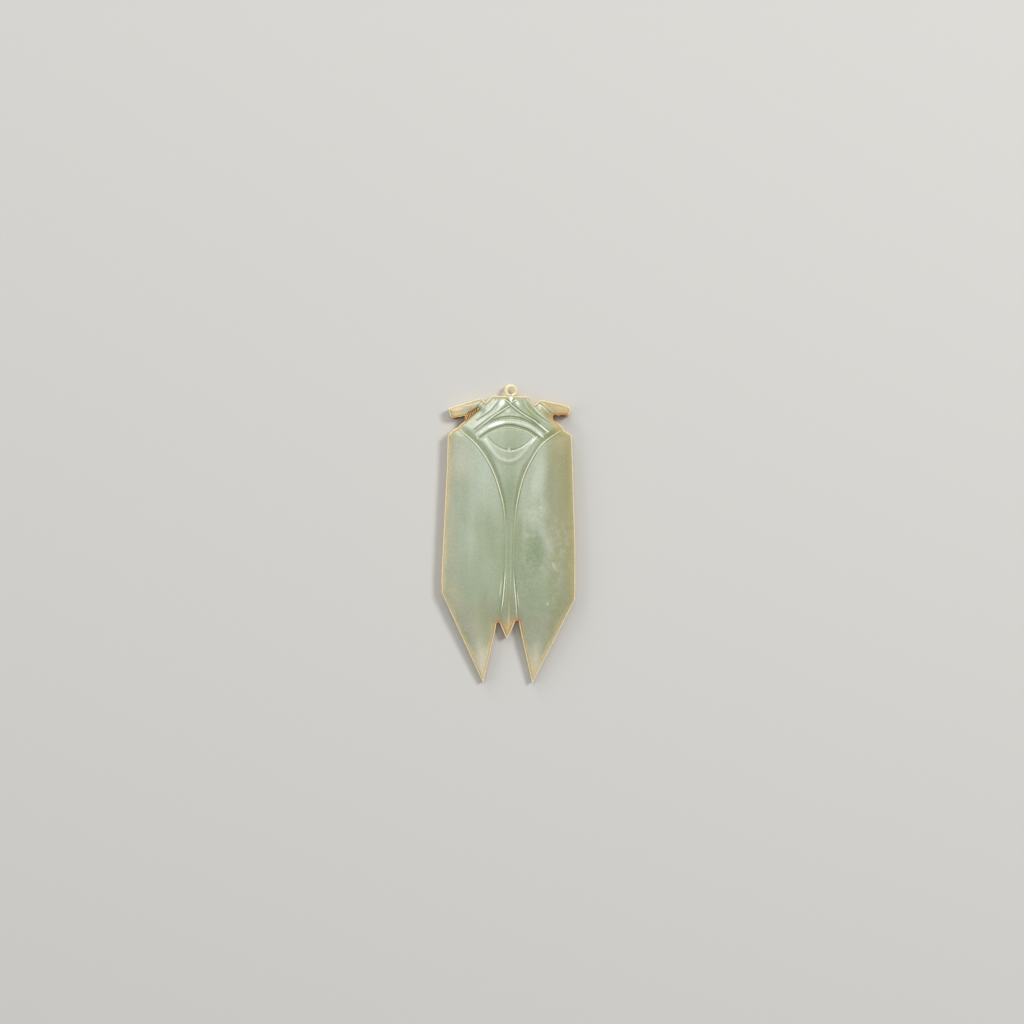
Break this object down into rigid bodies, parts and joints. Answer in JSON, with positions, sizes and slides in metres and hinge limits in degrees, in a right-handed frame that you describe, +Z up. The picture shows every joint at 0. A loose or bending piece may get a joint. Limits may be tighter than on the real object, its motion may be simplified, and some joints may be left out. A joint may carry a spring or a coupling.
{
  "type": "jade cicada pendant",
  "caption": "Flat carved jade cicada with folded wings, crossed collar lines and side eyes, set in a thin gold wall on a gold back plate, with a small hanging ring at the head.",
  "frame": {"origin": "middle of the pendant's length and width, on the underside of the back plate it lies on", "axes": "+Y from the wing tips to the head and its ring, +Z up out of the carved face, +X to the right of the carved face seen with the head up"},
  "size_m": [0.028, 0.0624, 0.0062],
  "materials": {
    "jade": "polished",
    "gold": "polished"
  },
  "bodies": {
    "root": {"jade_cicada": "jade", "back_plate": "gold", "bezel_strip": "gold", "hanging_ring": "gold"}
  },
  "joints": []
}
